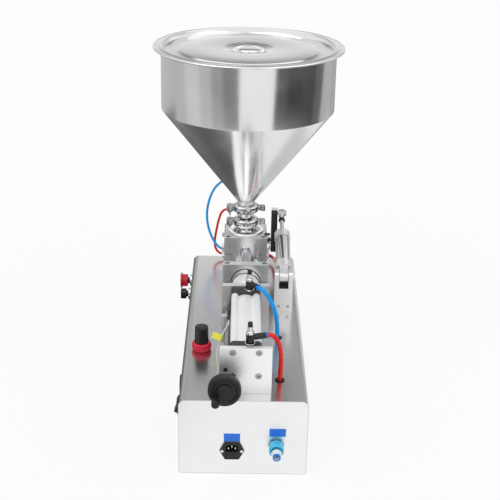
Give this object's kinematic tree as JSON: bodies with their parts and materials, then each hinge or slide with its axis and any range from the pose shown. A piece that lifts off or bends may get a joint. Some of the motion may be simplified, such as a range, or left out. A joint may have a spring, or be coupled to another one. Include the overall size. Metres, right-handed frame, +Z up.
{
  "type": "pneumatic piston dispenser",
  "caption": "Benchtop piston dispenser with a conical hopper and lid, an air-driven dosing cylinder, a rotary valve turned by a tilting air cylinder, a nozzle and a stroke handwheel.",
  "frame": {"origin": "centre of the base housing's underside, on the bench", "axes": "+Z up, +Y along the pump from the handwheel to the nozzle, +X to the right seen from the handwheel's end"},
  "size_m": [0.447, 0.9177, 0.7422],
  "materials": {
    "stainless": "brushed",
    "polished_steel": "polished",
    "bright_rod": "polished",
    "screw_steel": "satin",
    "anodised": "satin",
    "dark_caps": "satin",
    "black_metal": "satin",
    "piston_plastic": "matte",
    "black_plastic": "matte",
    "gloss_black": "gloss",
    "red_plastic": "gloss",
    "blue_plastic": "gloss",
    "fitting_plastic": "gloss",
    "rubber": "matte",
    "needle_red": "satin",
    "tag_yellow": "matte",
    "red_hose": "gloss",
    "blue_hose": "gloss",
    "white_cable": "gloss",
    "bare_aluminium": "satin"
  },
  "bodies": {
    "base": {"base_cover": "stainless", "end_panels": "stainless", "bottom_plate": "stainless", "valve_manifold": "bare_aluminium", "power_inlet": "black_plastic", "air_valve_body": "blue_plastic", "regulator_body": "red_plastic", "gauge_case": "black_metal", "switch_collars": "black_plastic", "rear_plate": "polished_steel", "cylinder_plate": "polished_steel", "cylinder_caps": "dark_caps", "cylinder_barrel": "anodised", "cap_screws": "screw_steel", "lower_clamps": "polished_steel", "upper_clamps": "polished_steel", "material_tube": "polished_steel", "valve_block": "polished_steel", "valve_glands": "stainless", "feed_neck": "polished_steel", "neck_pipe": "polished_steel", "tri_clamps": "stainless", "hopper": "stainless", "nozzle_body": "polished_steel", "nozzle_cylinder": "anodised", "actuator_bracket": "polished_steel", "air_fittings": "fitting_plastic", "hose_grommets": "rubber", "red_drive_hose": "red_hose", "blue_drive_hose": "blue_hose", "red_nozzle_hose": "red_hose", "blue_nozzle_hose": "blue_hose", "actuator_hose": "red_hose", "sensor_cable": "white_cable"},
    "lid": {"lid": "stainless"},
    "piston": {"drive_piston": "bare_aluminium", "drive_rod": "bright_rod", "rod_coupling": "stainless", "material_piston": "piston_plastic"},
    "wheel": {"handwheel": "black_plastic", "lead_screw": "screw_steel"},
    "wheel_grip": {"wheel_handle": "black_plastic"},
    "carriage": {"sensor_carriage": "stainless", "reed_sensor": "fitting_plastic", "cable_tag": "tag_yellow"},
    "valve": {"valve_spool": "stainless", "valve_lever": "black_metal"},
    "actuator": {"actuator_cylinder": "anodised"},
    "actuator_ram": {"actuator_rod": "bright_rod", "rod_eye": "screw_steel"},
    "nozzle_valve": {"nozzle_plug": "bright_rod"},
    "regulator": {"regulator_knob": "gloss_black"},
    "needle": {"gauge_needle": "needle_red"},
    "estop_push": {"estop_stem": "black_plastic"},
    "estop_cap": {"estop_head": "red_plastic"},
    "start_button": {"button_cap": "gloss_black"},
    "power_rocker": {"rocker": "black_plastic"},
    "air_sleeve": {"air_valve_sleeve": "blue_plastic"},
    "flow_near": {"flow_knob_near": "black_plastic"},
    "flow_far": {"flow_knob_far": "black_plastic"}
  },
  "joints": [
    {"name": "lid_lift", "type": "slide", "parent": "base", "child": "lid", "axis": [0, 0, 1], "range_m": [0, 0.25]},
    {"name": "dose_stroke", "type": "slide", "parent": "base", "child": "piston", "axis": [0, 1, 0], "range_m": [0, 0.15]},
    {"name": "wheel_turn", "type": "hinge", "parent": "base", "child": "wheel", "pos_m": [-0.038, -0.378, 0.204], "axis": [0, 1, 0], "range_deg": [-5400, 360]},
    {"name": "wheel_handle_spin", "type": "hinge", "parent": "wheel", "child": "wheel_grip", "pos_m": [-0.0551, -0.39, 0.19015], "axis": [0, 1, 0], "continuous": true},
    {"name": "carriage_slide", "type": "slide", "parent": "base", "child": "carriage", "axis": [0, 1, 0], "range_m": [-0.1501, 0.0101], "deforming": ["sensor_cable"]},
    {"name": "valve_turn", "type": "hinge", "parent": "base", "child": "valve", "pos_m": [0.003, 0.278, 0.237], "axis": [-1, 0, 0], "range_deg": [0, 90]},
    {"name": "actuator_tilt", "type": "hinge", "parent": "base", "child": "actuator", "pos_m": [0.091, 0.055, 0.253], "axis": [-1, 0, 0], "range_deg": [0, 20.9], "deforming": ["actuator_hose"]},
    {"name": "actuator_extend", "type": "slide", "parent": "actuator", "child": "actuator_ram", "axis": [0, 0.9516, 0.3073], "range_m": [0, 0.0772]},
    {"name": "nozzle_lift", "type": "slide", "parent": "base", "child": "nozzle_valve", "axis": [0, 0, 1], "range_m": [0, 0.02]},
    {"name": "regulator_turn", "type": "hinge", "parent": "base", "child": "regulator", "pos_m": [-0.091, -0.149, 0.183], "axis": [0, 0, 1], "range_deg": [-540, 540]},
    {"name": "gauge_turn", "type": "hinge", "parent": "base", "child": "needle", "pos_m": [-0.13, -0.224, 0.125], "axis": [1, 0, 0], "range_deg": [0, 270]},
    {"name": "estop_press", "type": "slide", "parent": "base", "child": "estop_push", "axis": [1, 0, 0], "range_m": [0, 0.004]},
    {"name": "estop_twist", "type": "hinge", "parent": "estop_push", "child": "estop_cap", "pos_m": [-0.14, 0.32, 0.12], "axis": [1, 0, 0], "range_deg": [0, 45]},
    {"name": "button_press", "type": "slide", "parent": "base", "child": "start_button", "axis": [1, 0, 0], "range_m": [0, 0.004], "stiffness_N_per_m": 300},
    {"name": "rocker_tip", "type": "hinge", "parent": "base", "child": "power_rocker", "pos_m": [-0.131, -0.334, 0.142], "axis": [0, -1, 0], "range_deg": [0, 24]},
    {"name": "air_sleeve_slide", "type": "slide", "parent": "base", "child": "air_sleeve", "axis": [0, -1, 0], "range_m": [0, 0.007]},
    {"name": "flow_near_turn", "type": "hinge", "parent": "base", "child": "flow_near", "pos_m": [0.011, -0.31, 0.31], "axis": [0, 0, 1], "range_deg": [0, 1440]},
    {"name": "flow_far_turn", "type": "hinge", "parent": "base", "child": "flow_far", "pos_m": [0.011, -0.056, 0.31], "axis": [0, 0, 1], "range_deg": [0, 1440]}
  ],
  "couplings": [
    {"joint": "carriage_slide", "follows": "wheel_turn", "m_per_rad": 0.0015915},
    {"joint": "actuator_tilt", "follows": "valve_turn", "ratio": 0.23154},
    {"joint": "actuator_extend", "follows": "valve_turn", "m_per_rad": 0.049068}
  ]
}
